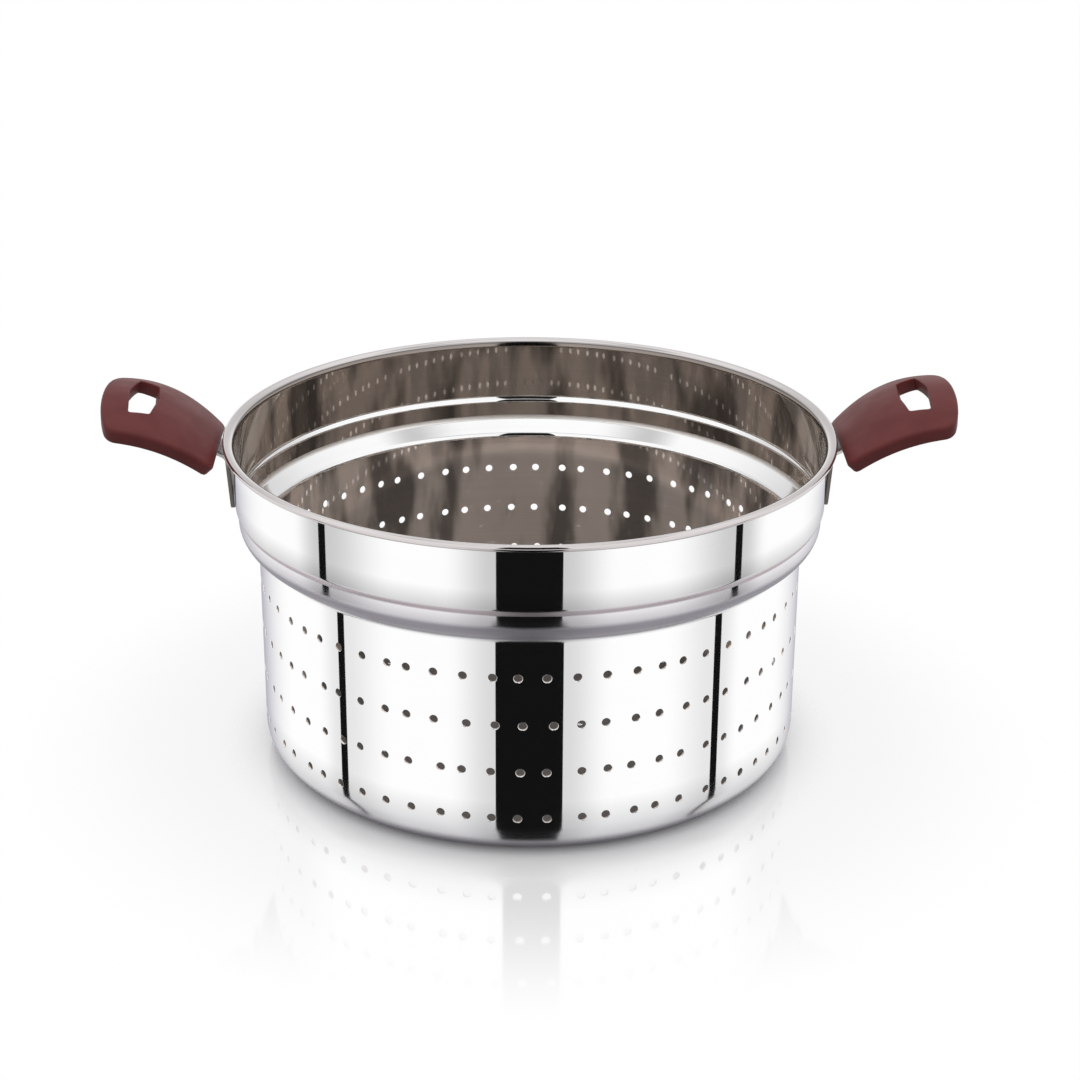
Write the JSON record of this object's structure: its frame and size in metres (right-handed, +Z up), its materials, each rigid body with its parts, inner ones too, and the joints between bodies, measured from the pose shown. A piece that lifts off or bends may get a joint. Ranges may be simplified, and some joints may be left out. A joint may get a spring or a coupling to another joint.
{
  "type": "pot strainer insert",
  "caption": "Perforated polished steel strainer insert for a cooking pot, with a stepped collar, a rolled rim and slotted maroon side grips on strap brackets.",
  "frame": {"origin": "centre of the underside of the base, where the insert stands on a table", "axes": "+Z up along the axis of the basket, +X through the right handle, -Y towards the viewer of the picture"},
  "size_m": [0.3362, 0.244, 0.1505],
  "materials": {
    "polished_steel": "mirror polished outside, satin polished inside",
    "strap_steel": "polished strip",
    "grip_plastic": "satin maroon moulding",
    "fastener_steel": "plated"
  },
  "bodies": {
    "root": {"strainer_body": "polished_steel", "right_handle_bracket": "strap_steel", "right_handle_grip": "grip_plastic", "right_handle_screw": "fastener_steel", "right_lock_washer": "fastener_steel", "left_handle_bracket": "strap_steel", "left_handle_grip": "grip_plastic", "left_handle_screw": "fastener_steel", "left_lock_washer": "fastener_steel"}
  },
  "joints": []
}
